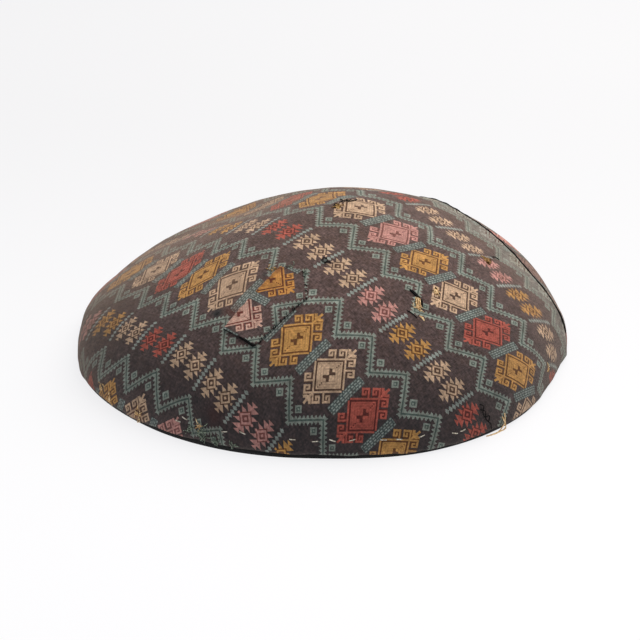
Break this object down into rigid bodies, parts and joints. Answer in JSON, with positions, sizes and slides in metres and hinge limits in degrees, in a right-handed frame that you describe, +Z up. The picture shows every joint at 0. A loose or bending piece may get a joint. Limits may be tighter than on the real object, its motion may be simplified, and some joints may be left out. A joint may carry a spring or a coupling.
{
  "type": "cloth-covered straw hat",
  "caption": "Shallow domed straw sun hat, open underneath for the head, with a worn brocade cover in two panels and a sewn-on patch.",
  "frame": {"origin": "under the middle of the hat, on the surface that its rim rests on", "axes": "+Z up through the crown, -Y towards the front of the hat, +X to the front's right as seen from the front"},
  "size_m": [0.419, 0.4312, 0.128],
  "materials": {
    "straw": "plaited split straw, dry and slightly glossy",
    "cover_cloth": "faded purple-brown brocade with figured weft",
    "side_cloth": "second length of the same brocade",
    "patch_cloth": "scrap of the same brocade, turned a quarter turn"
  },
  "bodies": {
    "root": {"straw_body": "straw", "cover_main": "cover_cloth", "cover_side": "side_cloth", "patch": "patch_cloth"}
  },
  "joints": []
}
